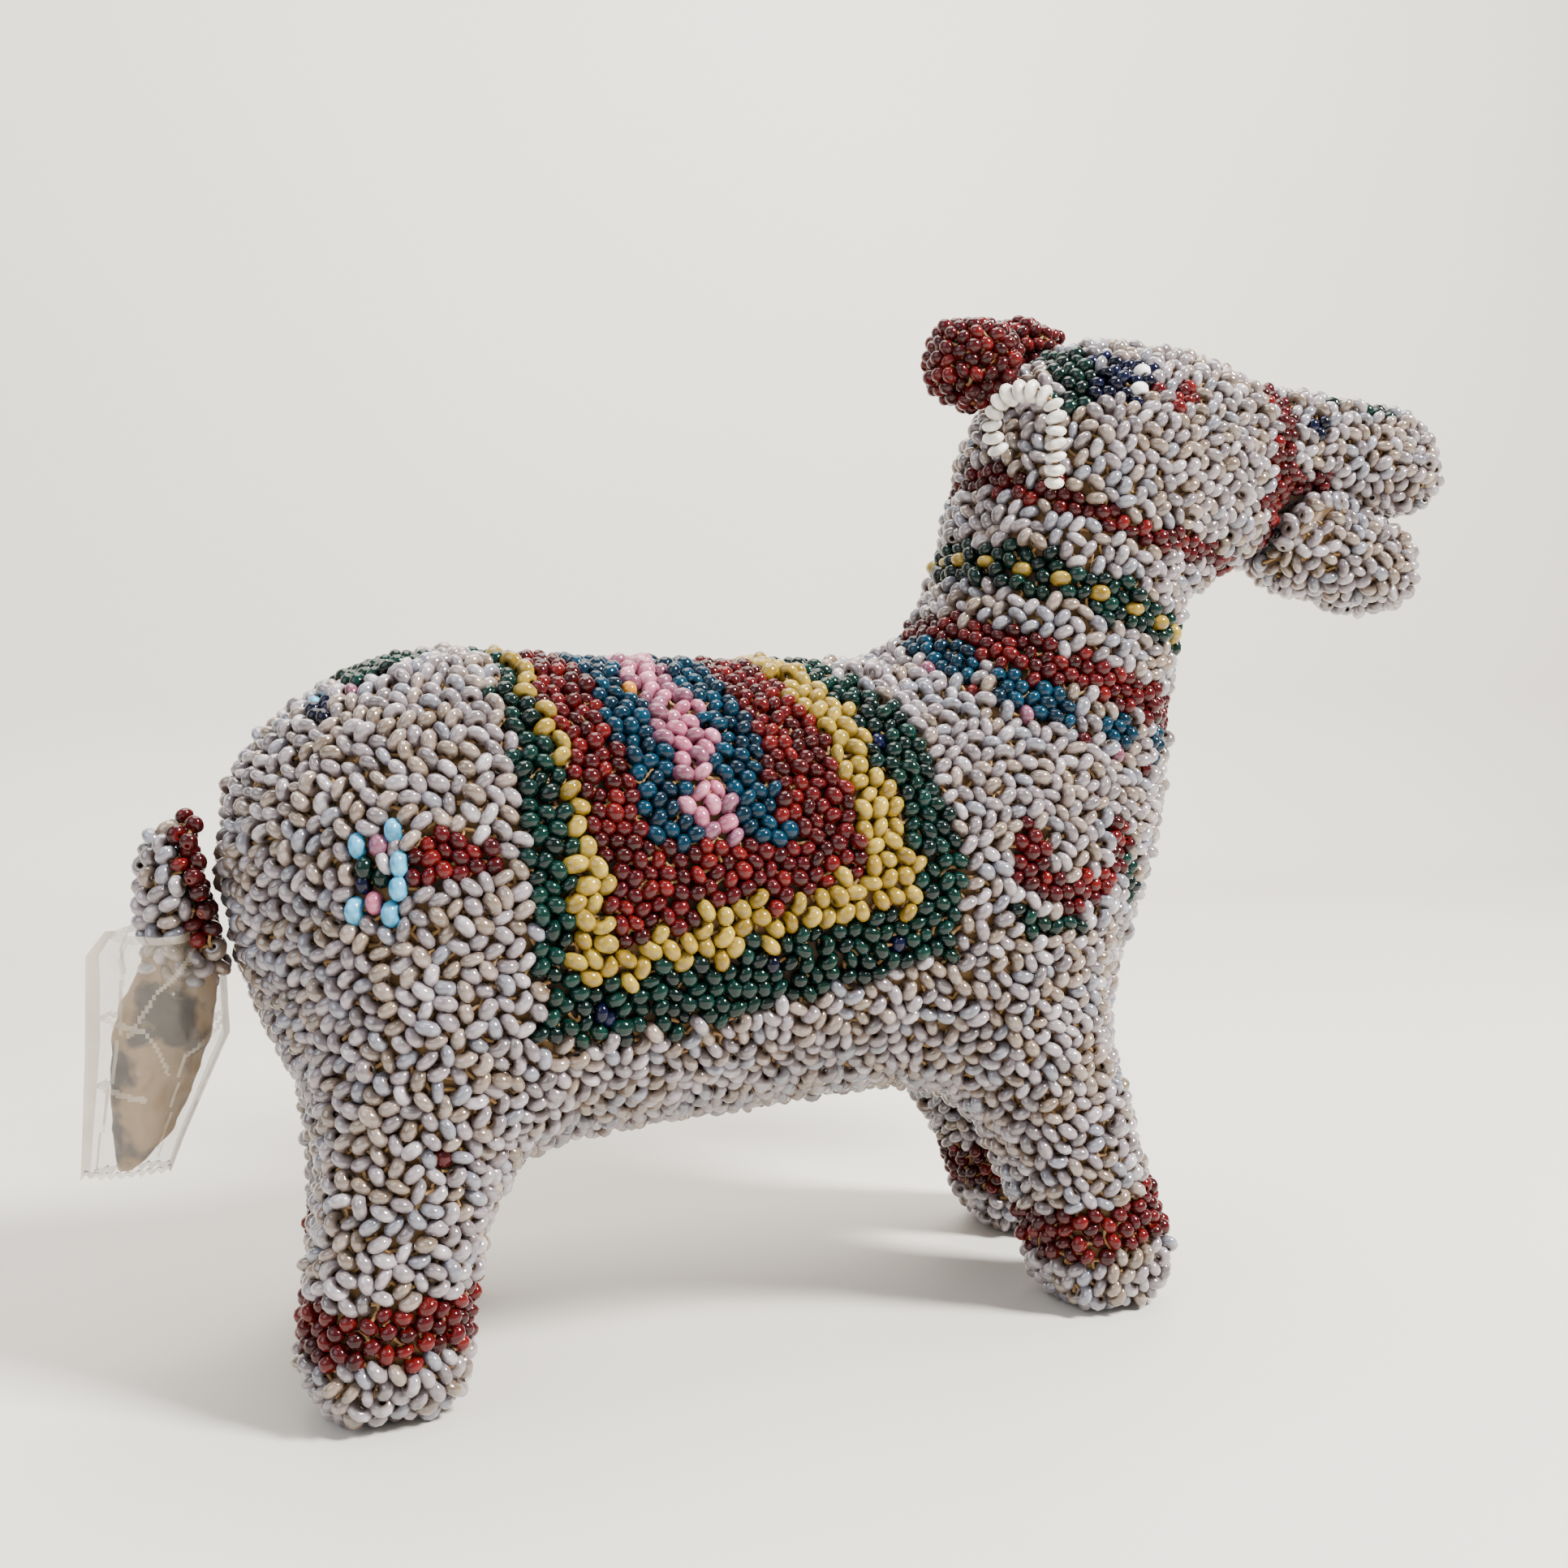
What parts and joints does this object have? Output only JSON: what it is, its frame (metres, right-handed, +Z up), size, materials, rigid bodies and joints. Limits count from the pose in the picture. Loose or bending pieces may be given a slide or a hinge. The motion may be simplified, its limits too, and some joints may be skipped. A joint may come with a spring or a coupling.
{
  "type": "beaded animal figure",
  "caption": "Stuffed four-legged pack animal figure covered in a net of threaded glass seed beads, with a saddle blanket pattern, banded neck and legs, ball ears, side bead loops and a tail.",
  "frame": {"origin": "under the middle of the whole figure, on the plane of the four soles", "axes": "+X towards the head, +Y to the animal's left, +Z up"},
  "size_m": [0.1578, 0.0444, 0.112],
  "materials": {
    "pearl_beads": "glossy pearl glass seed beads with brown thread between",
    "red_beads": "glossy dark red glass seed beads",
    "green_beads": "glossy dark green glass seed beads",
    "white_beads": "glossy opaque white glass beads",
    "stuffing": "packed brown cloth and fibre",
    "clear_film": "clear sticky film, slightly yellowed and creased"
  },
  "bodies": {
    "animal": {"rump_net": "pearl_beads", "chest_net": "pearl_beads", "belly_net": "pearl_beads", "saddle_blanket_net": "red_beads", "torso_stuffing": "stuffing", "neck_wide_band": "red_beads", "neck_lower_net": "pearl_beads", "collar_band": "green_beads", "neck_upper_net": "pearl_beads", "throat_band": "red_beads", "neck_stuffing": "stuffing", "head_net": "pearl_beads", "noseband": "red_beads", "muzzle_net": "pearl_beads", "head_stuffing": "stuffing", "jaw_net": "pearl_beads", "jaw_stuffing": "stuffing", "ear_right_net": "red_beads", "ear_right_stuffing": "stuffing", "ear_left_net": "red_beads", "ear_left_stuffing": "stuffing", "leg_hind_right_net": "pearl_beads", "leg_hind_right_band": "red_beads", "foot_hind_right_net": "pearl_beads", "leg_hind_right_stuffing": "stuffing", "leg_hind_left_net": "pearl_beads", "leg_hind_left_band": "red_beads", "foot_hind_left_net": "pearl_beads", "leg_hind_left_stuffing": "stuffing", "leg_front_right_net": "pearl_beads", "leg_front_right_band": "red_beads", "foot_front_right_net": "pearl_beads", "leg_front_right_stuffing": "stuffing", "leg_front_left_net": "pearl_beads", "leg_front_left_band": "red_beads", "foot_front_left_net": "pearl_beads", "leg_front_left_stuffing": "stuffing"},
    "tail": {"tail_ring": "red_beads", "tail_net": "pearl_beads", "tail_stuffing": "stuffing", "tail_tape": "clear_film"},
    "loop_right": {"bead_loop_right": "white_beads"},
    "loop_left": {"bead_loop_left": "white_beads"}
  },
  "joints": [
    {"name": "tail_swing", "type": "hinge", "parent": "animal", "child": "tail", "pos_m": [-0.06788, 0, 0.0502], "axis": [0, 1, 0], "range_deg": [-4, 7], "stiffness_Nm_per_rad": 0.02},
    {"name": "loop_right_lean", "type": "hinge", "parent": "animal", "child": "loop_right", "pos_m": [0.01567, -0.0108, 0.0908], "axis": [0.5003, -0.6761, -0.5409], "range_deg": [-5, 35], "stiffness_Nm_per_rad": 0.0004},
    {"name": "loop_left_lean", "type": "hinge", "parent": "animal", "child": "loop_left", "pos_m": [0.03002, 0.0166, 0.0907], "axis": [-0.8145, 0.0905, 0.5731], "range_deg": [-5, 35], "stiffness_Nm_per_rad": 0.0004}
  ]
}
